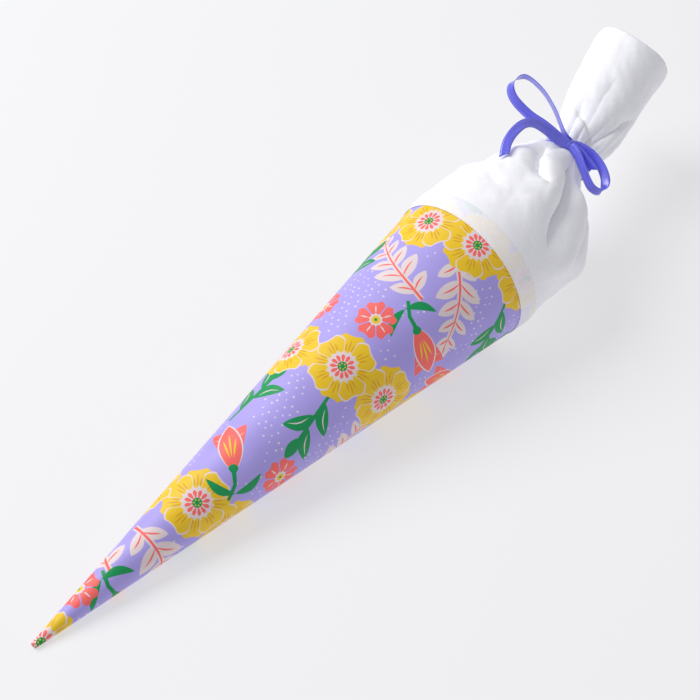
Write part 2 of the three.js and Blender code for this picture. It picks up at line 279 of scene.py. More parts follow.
# %% Daisy, tulip and blossom
def daisy(centre, radius, turn):
    shapes = []
    count = 8
    for layer, reach in ((0, 1.0), (1, 0.93)):
        for index in range(layer, count, 2):
            angle = turn + 2 * math.pi * index / count
            width = radius * 0.74
            if layer:
                shapes.append((PALE, petal(centre, angle, 4, radius * reach + 1.6, width + 3.2, 5)))
            shapes.append((YELLOW, petal(centre, angle, 4, radius * reach, width, 5)))
            for lean in (-0.16, 0, 0.16):
                vein = heading(angle + lean)
                start = centre + vein * radius * 0.4
                end = centre + vein * radius * (0.8 if lean == 0 else 0.68)
                shapes.append((OCHRE, almond(start, end, radius * 0.045, points=4)))
    shapes.append((PALE, disc(centre, radius * 0.41, 48, 0.12, 16)))
    for index in range(12):
        angle = turn + 2 * math.pi * (index + 0.5) / 12
        shapes.append((CORAL, petal(centre, angle, radius * 0.1, radius * 0.33, radius * 0.1, points=3)))
    shapes.append((LEAF, disc(centre, radius * 0.13)))
    for index in range(6):
        spot = centre + heading(turn + math.pi * index / 3) * radius * 0.078
        shapes.append((YELLOW, disc(spot, radius * 0.022, 6)))
    return shapes


def tulip(centre, radius, turn):
    along = heading(turn)
    side = Vector((-along.y, along.x))
    foot = centre - along * radius * 0.8
    shapes = [(LEAF, stroke(
        [foot - along * radius * 0.9 + side * radius * 0.25, foot - along * radius * 0.4, foot],
        [4, 4.5, 5],
    ))]
    for sign in (1, -1):
        tip = foot - along * radius * 0.1 + side * sign * radius * 0.95
        shapes.append((LEAF, almond(foot - along * radius * 0.7, tip, radius * 0.3, sign * 5)))
    for sign in (1, -1):
        tip = centre + along * radius * 0.85 + side * sign * radius * 0.62
        shapes.append((CORAL, almond(foot, tip, radius * 0.78, -sign * radius * 0.3, 12)))
        inset = centre + along * radius * 0.55 + side * sign * radius * 0.56
        shapes.append((PALE, almond(foot + along * 8, inset, radius * 0.06, -sign * radius * 0.32)))
    shapes.append((PALE, almond(foot, centre + along * (radius + 2), radius * 0.86, 0, 12)))
    shapes.append((CORAL, almond(foot, centre + along * radius, radius * 0.76, 0, 12)))
    for lean in (-0.22, 0, 0.22):
        end = centre + along * radius * (0.62 - abs(lean)) + side * lean * radius
        shapes.append((YELLOW, almond(foot + along * radius * 0.5 + side * lean * 10, end,
                                      radius * 0.07, points=4)))
    shapes.append((LEAF, petal(foot - along * 4, turn, 0, radius * 0.4, radius * 0.34)))
    return shapes


def blossom(centre, radius, turn):
    shapes = []
    for index in range(5):
        angle = turn + 2 * math.pi * index / 5
        shapes.append((CORAL, petal(centre, angle, 2, radius, radius * 0.86, 4)))
        shapes.append((PALE, almond(centre + heading(angle) * radius * 0.34,
                                    centre + heading(angle) * radius * 0.74, radius * 0.07, points=4)))
    shapes.append((PALE, disc(centre, radius * 0.3, 30, 0.14, 10)))
    shapes.append((YELLOW, disc(centre, radius * 0.2)))
    shapes.append((LEAF, disc(centre, radius * 0.08, 8)))
    return shapes


# %% Sprig and leaves
def sprig(centre, length, turn):
    along = heading(turn)
    side = Vector((-along.y, along.x))
    pairs = 5
    spine = []
    for step in range(9):
        share = step / 8
        sway = side * (length * 0.07 * math.sin(math.pi * share))
        spine.append(centre + along * (length * (share - 0.5)) + sway)
    shapes = [(PALE, stroke(spine, [7] * 9))]
    veins = [(CORAL, stroke(spine, [3.4 - 0.3 * step for step in range(9)]))]
    for index in range(pairs):
        share = (index + 0.6) / pairs
        root = spine[0].lerp(spine[-1], share) + side * (length * 0.07 * math.sin(math.pi * share))
        reach = length * (0.31 - 0.13 * abs(share - 0.35) * 2)
        for sign in (1, -1):
            tip = root + along * reach * 0.62 + side * sign * reach * 0.86
            shapes.append((PALE, almond(root - along * 3, tip, reach * 0.52, -sign * reach * 0.07)))
            inner = root.lerp(tip, 0.74)
            veins.append((CORAL, almond(root, inner, 2.2, -sign * reach * 0.05, 5)))
    tip = spine[-1] + along * length * 0.16
    shapes.append((PALE, almond(spine[-1] - along * length * 0.1, tip, length * 0.15)))
    veins.append((CORAL, almond(spine[-1] - along * 2, tip - along * length * 0.06, 2.2, points=5)))
    return shapes + veins


def leaf_pair(centre, length, turn):
    along = heading(turn)
    side = Vector((-along.y, along.x))
    foot = centre - along * length * 0.5
    shapes = [(LEAF, stroke([foot, centre, centre + along * length * 0.35], [3.6, 4.2, 3]))]
    for sign, share in ((1, 0.1), (-1, -0.08), (1, -0.3)):
        root = centre + along * length * share
        tip = root + along * length * 0.36 + side * sign * length * 0.3
        shapes.append((LEAF, almond(root, tip, length * 0.19, -sign * length * 0.05)))
        shapes.append((PALE, almond(root.lerp(tip, 0.2), root.lerp(tip, 0.85), 1.5,
                                    -sign * length * 0.04, 5)))
    shapes.append((LEAF, almond(centre + along * length * 0.28, centre + along * length * 0.62,
                                length * 0.17)))
    return shapes


# %% [markdown]
# ### Laying out the repeat
# A printer's repeat is a regular lattice in which the kinds of motif take turns. The rows are shifted by
# half a step, sprigs and leaves go down first, flowers cover their ends, and small dots fill what
# ground is left.

# %% The repeat
COLUMN = 98
ROW = 52
DAISY_RADIUS = 43
TULIP_RADIUS = 33
BLOSSOM_RADIUS = 25
SPRIG_LENGTH = 108
LEAF_LENGTH = 84
DOT_RADIUS = 1.35
DOT_SPACING = 8.8
ROWS = range(-1, 15)
COLUMNS = range(-1, 9)
FIRST_MOTIF = Vector((26, 12))
DOT_FIELD = (780, 760)  # along and across the rows of dots
OUTLINE_MARGIN = 45  # an outline whose middle lies farther off the sheet is left out

random.seed(11)
KINDS = ["daisy", "sprig", "tulip", "daisy", "leaf_pair", "blossom"]
beneath, above, taken = [], [], []
for row in ROWS:
    for column in COLUMNS:
        centre = Vector((COLUMN * (column + 0.5 * (row % 2)), ROW * row)) + FIRST_MOTIF
        kind = KINDS[(column * 2 + row * 5 + (row // 2)) % len(KINDS)]
        centre += Vector((random.uniform(-7, 7), random.uniform(-6, 6)))
        turn = random.uniform(0, 2 * math.pi)
        if kind == "daisy":
            above += daisy(centre, DAISY_RADIUS, turn)
            taken.append((centre, DAISY_RADIUS + 3))
        elif kind == "tulip":
            above += tulip(centre, TULIP_RADIUS, turn)
            taken.append((centre, TULIP_RADIUS + 4))
        elif kind == "blossom":
            above += blossom(centre, BLOSSOM_RADIUS, turn)
            taken.append((centre, BLOSSOM_RADIUS + 3))
        elif kind == "sprig":
            beneath += sprig(centre, SPRIG_LENGTH, turn)
            taken += [(centre + heading(turn) * shift, 30) for shift in (-30, 0, 30)]
        else:
            beneath += leaf_pair(centre, LEAF_LENGTH, turn)
            taken += [(centre + heading(turn) * shift, 24) for shift in (-20, 18)]

dots = []
for down in range(int(DOT_FIELD[1] / DOT_SPACING)):
    for along_row in range(int(DOT_FIELD[0] / DOT_SPACING)):
        spot = Vector((along_row + 0.5 * (down % 2), down)) * DOT_SPACING
        spot += Vector((random.uniform(-1.8, 1.8), random.uniform(-1.8, 1.8)))
        if all((spot - centre).length > room for centre, room in taken):
            dots.append((DOT, disc(spot, DOT_RADIUS * random.uniform(0.75, 1.1), 6)))


def near_sheet(outline):
    middle = sum(outline, Vector((0, 0))) / len(outline)
    angle = math.degrees(math.atan2(middle.y, middle.x)) / SHEET_SHARE
    reach = middle.length
    margin = math.degrees(OUTLINE_MARGIN / max(reach, 1)) / SHEET_SHARE
    along = SHEET_START - OUTLINE_MARGIN < reach < SHEET_END + OUTLINE_MARGIN
    return along and -LAP_ANGLE - margin < angle < 360 + margin


def counterclockwise(outline):
    area = sum(a.cross(b) for a, b in zip(outline, outline[1:] + outline[:1]))
    return outline if area > 0 else outline[::-1]


def covers(outline, point):
    inside = False
    for a, b in zip(outline, outline[1:] + outline[:1]):
        if (a.y > point.y) != (b.y > point.y):
            if point.x < a.x + (b.x - a.x) * (point.y - a.y) / (b.y - a.y):
                inside = not inside
    return inside


printed = [(colour, counterclockwise(outline))
           for colour, outline in beneath + dots + above if near_sheet(outline)]
print(len(printed), "printed shapes")

# %% [markdown]
# ### Cutting the sheet and rolling it
# The triangulation is also cut along lines that run from tip to mouth, so that the flat pieces can
# follow the round of the cone. Then every point is rolled up: its distance from the fan's centre
# becomes a height on the cone, and its angle a turn round it.

# %% Cut the sheet along the print
steps = round((360 + LAP_ANGLE) / GRID_STEP)
grid_angles = [-LAP_ANGLE + GRID_STEP * step for step in range(steps + 1)]
corners = [on_sheet(SHEET_END, angle) for angle in grid_angles]
corners += [on_sheet(SHEET_START, angle) for angle in reversed(grid_angles)]
count = len(corners)
outlines = [list(range(count))]
cuts = [(index, count - 1 - index) for index in range(1, len(grid_angles) - 1)]
for _, outline in printed:
    outlines.append(list(range(len(corners), len(corners) + len(outline))))
    corners += outline
points, _, faces, _, _, sources = delaunay_2d_cdt(corners, cuts, outlines, 1, 1e-4)
print("the sheet is cut into", len(faces), "pieces")


# %% Roll it up
LAP_GAP = 0.04  # keeps the lap's two layers from lying in one surface


def rolled(point):
    angle = math.degrees(math.atan2(point.y, point.x)) / SHEET_SHARE
    height = (point.length - SHEET_START) * AXIAL_LENGTH / SLANT_LENGTH
    lap_gap = LAP_GAP if angle < 0 else 0
    radius = card_outside(height, angle / 360) - lap_gap
    section = section_frame(TIP_CENTRE + AXIS * height, AXIS)
    return point_in_section(section, SEAM_ANGLE + angle, radius) * MM


builder = bmesh.new()
used = {}
for face, covering in zip(faces, sources):
    if 0 not in covering:
        continue
    ring = []
    for index in face:
        if index not in used:
            used[index] = builder.verts.new(rolled(points[index]))
        ring.append(used[index])
    piece = builder.faces.new(ring)
    middle = sum((points[index] for index in face), Vector((0, 0))) / len(face)
    for index in sorted(covering, reverse=True):
        if index and covers(printed[index - 1][1], middle):
            piece.material_index = printed[index - 1][0]
            break

# %% [markdown]
# ### Inks and card
# Offset inks on coated card lie flat and even, with a soft gloss. The ground tone drifts a little from
# place to place, and the card's own grain shows as a very fine bump. Each ink is one short material, all
# made by the same function, so the whole print has one finish.

# %% The inks
INKS = {
    "ground_lilac": (176, 163, 235),
    "ink_green": (10, 152, 84),
    "ink_pale": (231, 216, 216),
    "ink_yellow": (242, 200, 36),
    "ink_ochre": (222, 168, 34),
    "ink_coral": (255, 110, 104),
    "ink_dots": (226, 218, 240),
    "plain_card": (214, 206, 194),
}


def ink(name, colour, roughness=0.48):
    material, nodes, links, shader = new_material(name)
    place = nodes.new("ShaderNodeTexCoord")
    drift = nodes.new("ShaderNodeTexNoise")
    drift.inputs["Scale"].default_value = 22
    drift.inputs["Detail"].default_value = 4
    tone = nodes.new("ShaderNodeValToRGB")
    base = linear(*colour)
    tone.color_ramp.elements[0].position = 0.3
    tone.color_ramp.elements[1].position = 0.7
    tone.color_ramp.elements[0].color = [c * 0.955 for c in base[:3]] + [1]
    tone.color_ramp.elements[1].color = [min(c * 1.03, 1) for c in base[:3]] + [1]
    grain = nodes.new("ShaderNodeTexNoise")
    grain.inputs["Scale"].default_value = 900
    grain.inputs["Detail"].default_value = 2
    bump = nodes.new("ShaderNodeBump")
    bump.inputs["Strength"].default_value = 0.12
    bump.inputs["Distance"].default_value = 0.0002
    links.new(place.outputs["Object"], drift.inputs["Vector"])
    links.new(place.outputs["Object"], grain.inputs["Vector"])
    links.new(drift.outputs["Fac"], tone.inputs["Fac"])
    links.new(tone.outputs["Color"], shader.inputs["Base Color"])
    links.new(grain.outputs["Fac"], bump.inputs["Height"])
    links.new(bump.outputs["Normal"], shader.inputs["Normal"])
    shader.inputs["Roughness"].default_value = roughness
    shader.inputs["Specular IOR Level"].default_value = 0.35
    return material


card_materials = [ink(name, colour) for name, colour in INKS.items()]
PLAIN_CARD = len(card_materials) - 1

# %% The printed cone
WALL_SHARE = 0.97  # the wall is thinner than the card by a hair, so that the lap's layers stay apart
card = new_piece("printed_card_cone", builder, card_materials)
wall = card.modifiers.new("wall", "SOLIDIFY")
wall.thickness = CARD_THICKNESS * WALL_SHARE * MM
wall.offset = -1
wall.material_offset = PLAIN_CARD
wall.material_offset_rim = PLAIN_CARD
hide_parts("card_cone")
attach(card, "root")

# %% [markdown]
# ## The paper cuff
# The cuff is one strip of soft paper. Round the card it is a plain band; beyond the mouth it bulges, is
# drawn together under the ribbon, and opens again into a loose tube. A grid is wrapped round a bending
# centre line, and folds are pressed into it: gathers that fan out from the neck, and single creases
# where the paper buckled.

# %% The cuff's centre line
NECK_REACH = Vector((208.5, 28, 19))
TAIL_REACH = Vector((191, 49, 30))
NECK_RADIUS = 33
TAIL_RADIUS = 52
BELLY_RADIUS = 99
FLOOR_SLACK = 12
LOWER_SIDE = -28
RIBBON_WIDTH = 12

NECK_CENTRE = MOUTH_CENTRE + NECK_REACH
TAIL_END = NECK_CENTRE + TAIL_REACH
NECK_HEADING = (NECK_REACH.normalized() + TAIL_REACH.normalized()).normalized()
BELLY_LENGTH = NECK_REACH.length
TAIL_LENGTH = TAIL_REACH.length
belly_path = [
    MOUTH_CENTRE,
    MOUTH_CENTRE + AXIS * (BELLY_LENGTH / 3),
    NECK_CENTRE - NECK_HEADING * (BELLY_LENGTH / 3),
    NECK_CENTRE,
]
tail_path = [
    NECK_CENTRE,
    NECK_CENTRE + NECK_HEADING * (TAIL_LENGTH / 3),
    TAIL_END - TAIL_REACH / 3,
    TAIL_END,
]


def bezier(path, share):
    a, b, c, d = path
    rest = 1 - share
    point = a * rest**3 + b * (3 * rest**2 * share) + c * (3 * rest * share**2) + d * share**3
    slope = (b - a) * rest**2 + (c - b) * (2 * rest * share) + (d - c) * share**2
    return point, slope


def cuff_section(distance):
    if distance <= 0:
        return section_frame(MOUTH_CENTRE + AXIS * distance, AXIS)
    if distance < BELLY_LENGTH:
        return section_frame(*bezier(belly_path, distance / BELLY_LENGTH))
    return section_frame(*bezier(tail_path, (distance - BELLY_LENGTH) / TAIL_LENGTH))


# %% The cuff's outline
MOUTH_WRAP = MOUTH_RADIUS + WRAP
SEAT = (RIBBON_WIDTH / 2 + 2) / BELLY_LENGTH
belly_rows = [
    (0.0, MOUTH_WRAP + 0.4, MOUTH_WRAP + 0.4),
    (0.1, MOUTH_WRAP - 1, MOUTH_WRAP - 2),
    (0.25, MOUTH_WRAP - 4, BELLY_RADIUS - 2),
    (0.4, MOUTH_WRAP - 12, BELLY_RADIUS),
    (0.51, MOUTH_WRAP - 17, BELLY_RADIUS - 9),
    (0.62, MOUTH_WRAP - 21, BELLY_RADIUS - 21),
    (0.76, NECK_RADIUS + 32, NECK_RADIUS + 17),
    (0.88, NECK_RADIUS + 17, NECK_RADIUS + 5),
    (1 - SEAT, NECK_RADIUS, NECK_RADIUS),
]
tail_rows = [
    (SEAT, NECK_RADIUS, NECK_RADIUS),
    (0.12, NECK_RADIUS + 2, NECK_RADIUS + 7),
    (0.26, TAIL_RADIUS - 11, TAIL_RADIUS - 6),
    (0.45, TAIL_RADIUS - 6, TAIL_RADIUS - 5),
    (0.7, TAIL_RADIUS - 3, TAIL_RADIUS - 4),
    (1.0, TAIL_RADIUS, TAIL_RADIUS),
]
profile = [(share * BELLY_LENGTH, far, near) for share, far, near in belly_rows]
profile += [(BELLY_LENGTH + share * TAIL_LENGTH, far, near) for share, far, near in tail_rows]


def eased(distance, column):
    """The profile's value at a distance, on a smooth curve through its rows."""
    index = max(i for i, row in enumerate(profile) if row[0] <= distance or i == 0)
    index = min(index, len(profile) - 2)
    start, end = profile[index], profile[index + 1]
    span = end[0] - start[0]
    h = (distance - start[0]) / span

    def slope(i):
        if i == 0 or i == len(profile) - 1:
            return 0.0
        before, after = profile[i - 1], profile[i + 1]
        return (after[column] - before[column]) / (after[0] - before[0])

    return (
        start[column] * (2 * h**3 - 3 * h**2 + 1) + end[column] * (3 * h**2 - 2 * h**3)
        + slope(index) * span * (h**3 - 2 * h**2 + h) + slope(index + 1) * span * (h**3 - h**2)
    )


def cuff_round(distance, angle):
    """The cuff's outside before any fold is pressed in."""
    if distance <= 0:
        turns = turns_past_seam(angle) or 1
        return card_outside(AXIAL_LENGTH + distance, turns) + WRAP
    far, near = eased(distance, 1), eased(distance, 2)
    lean = math.cos(math.radians(angle - LOWER_SIDE))
    below = max(0.0, -math.sin(math.radians(angle))) ** 6
    slack = FLOOR_SLACK * below * math.sin(math.pi * min(1.0, distance / (0.75 * BELLY_LENGTH)))
    return (far + near) / 2 + (near - far) / 2 * lean + max(0.0, slack)


# %% [markdown]
# ### Folds
# A gather is a sharp valley that starts at the neck and runs out along the paper. A crease is the same
# valley along any line, and it can be steeper on one side than on the other. Between the creases the
# paper swells out. Each is given by the places it joins, as a distance beyond the mouth and an angle
# round the cuff, by its depth and by its width.

# %% Gathers, creases and swells
def smooth(value):
    value = min(max(value, 0.0), 1.0)
    return value * value * (3 - 2 * value)


# angle at the neck, angle at the outer end, reach into the belly, depth at the neck
BELLY_GATHERS = [
    (58, 52, 46, 9), (80, 86, 70, 11), (104, 110, 60, 9), (33, 20, 84, 13), (8, -4, 70, 12),
    (-18, -24, 60, 11), (-45, -44, 90, 12), (-72, -66, 60, 11), (-98, -100, 80, 12),
    (-124, -120, 60, 11), (-150, -144, 85, 12), (-176, -178, 62, 11), (158, 156, 80, 12),
    (132, 134, 62, 11),
]
TAIL_GATHERS = [
    (70, 78, 60, 9), (95, 104, 90, 11), (45, 38, 100, 10), (20, 16, 56, 11), (-5, -2, 110, 11),
    (-30, -34, 64, 11), (-56, -50, 120, 12), (-82, -84, 70, 11), (-108, -104, 130, 12),
    (-134, -138, 70, 11), (-160, -156, 120, 12), (174, 178, 70, 11), (148, 146, 120, 12),
    (121, 124, 70, 11),
]
# places on the fold (distance, angle), depth, width on each side
CREASES = [
    ([(186, 52), (140, 45), (105, 40), (72, 36), (48, 31), (33, 26), (24, 22)], 30, 10, 10),
    ([(165, 92), (132, 86), (108, 76), (92, 62), (96, 52)], 15, 5, 12),
    ([(60, 108), (48, 88), (51, 70), (62, 60)], 5, 6, 14),
    ([(180, 20), (120, 6), (70, 2), (42, -8)], 9, 9, 5),
    ([(185, 118), (140, 122), (100, 124), (66, 134)], 10, 6, 13),
    ([(160, 150), (110, 152), (60, 160)], 9, 12, 6),
    ([(170, -40), (110, -46), (60, -40), (40, -30)], 8, 8, 10),
    ([(165, -100), (105, -110), (50, -104)], 7, 9, 9),
    ([(170, -160), (100, -150), (55, -156)], 8, 8, 12),
    ([(268, 122), (252, 88), (238, 56), (218, 41), (190, 52)], 8, 15, 3),
    ([(318, -8), (262, 20), (226, 31), (192, 52)], 8, 3, 15),
    ([(300, 150), (250, 145), (216, 128)], 6, 4, 9),
    ([(330, 70), (290, 74), (250, 70), (222, 62)], 3, 12, 10),
    ([(225, -60), (270, -70), (330, -66)], 6, 6, 12),
    ([(225, -140), (280, -150), (340, -140)], 6, 10, 8),
    ([(222, 178), (270, 184), (330, 190)], 6, 8, 10),
]
# places where the paper swells out between its creases: distance, angle, height, radius
SWELLS = [
    (50, 8, 9, 20),
    (84, 60, 6, 17),
    (120, 100, 6, 18),
    (92, -22, 5, 22),
    (80, 140, 5, 20),
    (236, 78, 5, 15),
    (228, 8, 5, 14),
    (232, -100, 5, 18),
]


def angle_apart(a, b):
    return (a - b + 180) % 360 - 180


def gather_depth(distance, angle, radius):
    beyond = distance - BELLY_LENGTH
    gathers = BELLY_GATHERS if beyond < 0 else TAIL_GATHERS
    depth = 0.0
    for at_neck, at_end, reach, deep in gathers:
        share = abs(beyond) / reach
        if share >= 1:
            continue
        middle = at_neck + angle_apart(at_end, at_neck) * share
        apart = abs(angle_apart(angle, middle)) * math.pi / 180 * radius
        width = 3.6 + 8 * share
        depth += deep * (1 - share) ** 1.6 * math.exp(-apart / width)
    return depth


def crease_depth(distance, angle, radius, crease):
    places, deep, near_width, far_width = crease
    best = None
    lengths = []
    for (d0, a0), (d1, a1) in zip(places, places[1:]):
        lengths.append(math.hypot(d1 - d0, angle_apart(a1, a0) * math.pi / 180 * radius))
    total = sum(lengths)
    gone = 0.0
    for ((d0, a0), (d1, a1)), length in zip(zip(places, places[1:]), lengths):
        along = Vector((d1 - d0, angle_apart(a1, a0) * math.pi / 180 * radius))
        here = Vector((distance - d0, angle_apart(angle, a0) * math.pi / 180 * radius))
        share = min(max(here.dot(along) / max(length**2, 1e-6), 0.0), 1.0)
        offset = here - along * share
        side = along.x * here.y - along.y * here.x
        candidate = (offset.length, (gone + share * length) / total, side)
        if best is None or candidate[0] < best[0]:
            best = candidate
        gone += length
    apart, share, side = best
    width = near_width if side >= 0 else far_width
    fade = smooth(share / 0.25) * smooth((1 - share) / 0.35)
    return deep * fade * math.exp(-apart / width)


def cuff_radius(distance, angle):
    radius = cuff_round(distance, angle)
    if distance <= 0:
        return radius
    depth = gather_depth(distance, angle, radius)
    for crease in CREASES:
        start = min(place[0] for place in crease[0])
        end = max(place[0] for place in crease[0])
        if start - 55 < distance < end + 55:
            depth += crease_depth(distance, angle, radius, crease)
    for middle, turned, height, spread in SWELLS:
        apart = math.hypot(distance - middle, math.radians(angle_apart(angle, turned)) * radius)
        depth -= height * math.exp(-((apart / spread) ** 2))
    radius = max(radius - depth * smooth(distance / 18), 8)
    under_ribbon = 1 - smooth((abs(distance - BELLY_LENGTH) - RIBBON_WIDTH / 2) / 6)
    return radius + (min(radius, NECK_RADIUS - 0.3) - radius) * under_ribbon


# %% Wrap the grid
ROUND_STEPS = 240
LONG_STEPS = 190
cuff_length = GLUE_BAND + BELLY_LENGTH + TAIL_LENGTH
CRUMPLE_HEIGHT = 0.6
PAPER_SHOWN = 0.3  # the paper's thickness here
EDGE_WAVE = 2.5  # the open end was cut by hand
CUT_BACK = 15  # and it is shorter on its upper, near side
CUT_ANGLE = 58


def cuff_point(distance, angle):
    point = point_in_section(cuff_section(distance), angle, cuff_radius(distance, angle))
    point.z = max(point.z, 0.05)
    return point


def crumple(point, distance):
    """Small dents of soft paper, none where it is glued down or lies on the floor."""
    strength = smooth(distance / 30) * smooth((point.z - 2) / 14)
    wave = (
        abs(math.sin(point.x * 0.075 + 1.3 * math.sin(point.y * 0.06) + point.z * 0.05))
        + 0.8 * abs(math.sin(point.y * 0.11 + 1.1 * math.sin(point.z * 0.09) - point.x * 0.03))
        + 0.6 * abs(math.sin(point.z * 0.14 + 1.7 * math.sin(point.x * 0.08)))
        + 0.25 * math.sin(point.x * 0.31 + 2 * math.sin(point.y * 0.2))
    )
    return CRUMPLE_HEIGHT * strength * (wave - 1.5)


builder = bmesh.new()
bmesh.ops.create_grid(builder, x_segments=LONG_STEPS, y_segments=ROUND_STEPS, size=0.5)
builder.verts.ensure_lookup_table()
for vertex in builder.verts:
    share, turn = vertex.co.x + 0.5, vertex.co.y + 0.5
    distance = share * cuff_length - GLUE_BAND
    angle = SEAM_ANGLE + 360 * turn
    if share > 0.8:
        near_side = max(0.0, math.cos(math.radians(angle - CUT_ANGLE)))
        stray = EDGE_WAVE * math.sin(math.radians(angle * 3 + 50)) - CUT_BACK * near_side
        distance += stray * (share - 0.8) / 0.2
    distance = min(distance, BELLY_LENGTH + TAIL_LENGTH * 0.9999)
    point = cuff_point(distance, angle)
    out = (point - cuff_section(distance)[0]).normalized()
    point += out * crumple(point, distance)
    vertex.co = point * MM
bmesh.ops.remove_doubles(builder, verts=builder.verts[:], dist=0.00001)
bmesh.ops.recalc_face_normals(builder, faces=builder.faces[:])

# %% The print that shows through the band
beneath_band = []
for colour, outline in printed:
    middle = sum(outline, Vector((0, 0))) / len(outline)
    size = max((corner - middle).length for corner in outline)
    if middle.length + size > SHEET_END - GLUE_BAND:
        beneath_band.append((colour, outline, middle, size))
ink_colours = list(INKS.values())
mouth_plane = MOUTH_CENTRE.dot(AXIS)
show_through = builder.verts.layers.float_color.new("print_beneath")
tinted = 0
for vertex in builder.verts:
    point = vertex.co / MM
    beyond = point.dot(AXIS) - mouth_plane
    colour = (248, 248, 252)
    if beyond < 1:
        out = point - TIP_CENTRE
        up = AXIS.cross(Vector((0, 0, 1)).cross(AXIS)).normalized()
        angle = math.degrees(math.atan2(out.dot(up), out.dot(AXIS.cross(Vector((0, 0, 1))))))
        flat = on_sheet(SHEET_END + beyond * SLANT_LENGTH / AXIAL_LENGTH, (angle - SEAM_ANGLE) % 360)
        colour = ink_colours[GROUND]
        for shape_colour, outline, middle, size in reversed(beneath_band):
            if (flat - middle).length < size and covers(outline, flat):
                colour = ink_colours[shape_colour]
                break
        tinted += 1
    vertex[show_through] = linear(*colour)
print(tinted, "points of the band take a tint from the print")

# %% [markdown]
# ### Soft white paper
# The paper is thin and matt, with a web of long fibres. Over the card it takes on a hint of the print
# beneath, blurred by the fibres. That tint is looked up in the flat print, point by point, and is kept
# with the mesh as a colour attribute.

# %% The paper
def paper(name, tint):
    material, nodes, links, shader = new_material(name)
    shown = nodes.new("ShaderNodeAttribute")
    shown.attribute_name = "print_beneath"
    veil = nodes.new("ShaderNodeMix")
    veil.data_type = "RGBA"
    veil.inputs["Factor"].default_value = tint
    place = nodes.new("ShaderNodeTexCoord")
    fibres = nodes.new("ShaderNodeTexNoise")
    fibres.inputs["Scale"].default_value = 260
    fibres.inputs["Detail"].default_value = 6
    fibres.inputs["Distortion"].default_value = 1.2
    dents = nodes.new("ShaderNodeTexNoise")
    dents.inputs["Scale"].default_value = 38
    dents.inputs["Detail"].default_value = 3
    tone = nodes.new("ShaderNodeValToRGB")
    tone.color_ramp.elements[0].position = 0.35
    tone.color_ramp.elements[1].position = 0.65
    tone.color_ramp.elements[0].color = linear(247, 247, 251)
    tone.color_ramp.elements[1].color = linear(253, 253, 255)
    fine = nodes.new("ShaderNodeBump")
    fine.inputs["Strength"].default_value = 0.25
    fine.inputs["Distance"].default_value = 0.0003
    broad = nodes.new("ShaderNodeBump")
    broad.inputs["Strength"].default_value = 0.3
    broad.inputs["Distance"].default_value = 0.0015
    links.new(place.outputs["Object"], fibres.inputs["Vector"])
    links.new(place.outputs["Object"], dents.inputs["Vector"])
    links.new(fibres.outputs["Fac"], tone.inputs["Fac"])
    links.new(tone.outputs["Color"], veil.inputs[6])
    links.new(shown.outputs["Color"], veil.inputs[7])
    links.new(veil.outputs[2], shader.inputs["Base Color"])
    links.new(dents.outputs["Fac"], broad.inputs["Height"])
    links.new(fibres.outputs["Fac"], fine.inputs["Height"])
    links.new(broad.outputs["Normal"], fine.inputs["Normal"])
    links.new(fine.outputs["Normal"], shader.inputs["Normal"])
    shader.inputs["Roughness"].default_value = 0.8
    shader.inputs["Specular IOR Level"].default_value = 0.25
    return material


cuff = new_piece("gathered_paper_cuff", builder, [paper("soft_paper", 0.17)])
wall = cuff.modifiers.new("wall", "SOLIDIFY")
wall.thickness = PAPER_SHOWN * MM
wall.offset = -1
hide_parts("paper_cuff")
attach(cuff, "root")

# %% [markdown]
# ## The satin ribbon
# One ribbon goes round the neck, through the knot and out into two loops and two ends. A ribbon bends
# easily out of its own plane and hardly at all within it, so each stretch is a flat strip carried along
# a curve, with its width turned little by little. The places on the route are given as the bow is seen
# from the near side: across, up, and towards the viewer.

# %% The bow's own directions
RIBBON_THICKNESS = 0.45
SOLID_RIBBON_THICKNESS = 0.8  # the plain model's, whose ring sets this ring's radius
RIBBON_CLEARANCE = 0.4
KNOT_ANGLE = 72
KNOT_PULL = 14  # the loops' weight draws the front of the ring towards the cone
KNOT_WIDTH = 9
BOW_HEADING = -46.4
BOW_ELEVATION = 44.2
STEPS_A_PLACE = 8
STRIP_BOW = 0.35  # the strip is a little rounded across its width
END_SLANT = 4.5  # the ends are cut aslant
KNOT_OUT = 7  # the knot's middle, beyond the ring
KNOT_HALF_WIDTH = 6.2
KNOT_HALF_DEPTH = 5
KNOT_LIFT = 3  # towards the viewer, over the crossing
KNOT_STEPS = 20
RING_STEP = 5  # degrees
RING_BULGE = 4  # the ring stands off the neck under the knot

turn, rise_angle = math.radians(BOW_HEADING), math.radians(BOW_ELEVATION)
bow_across = Vector((math.cos(turn), math.sin(turn), 0))
bow_toward = Vector((
    math.sin(turn) * math.cos(rise_angle), -math.cos(turn) * math.cos(rise_angle), math.sin(rise_angle)
))
bow_rise = bow_toward.cross(bow_across)


def in_bow(place):
    return bow_across * place[0] + bow_rise * place[1] + bow_toward * place[2]


neck_section = cuff_section(BELLY_LENGTH)
neck_tangent = NECK_HEADING
ring_radius = NECK_RADIUS + RIBBON_CLEARANCE + SOLID_RIBBON_THICKNESS / 2
knot_centre = point_in_section(neck_section, KNOT_ANGLE, ring_radius + KNOT_OUT)
knot_centre -= neck_tangent * KNOT_PULL

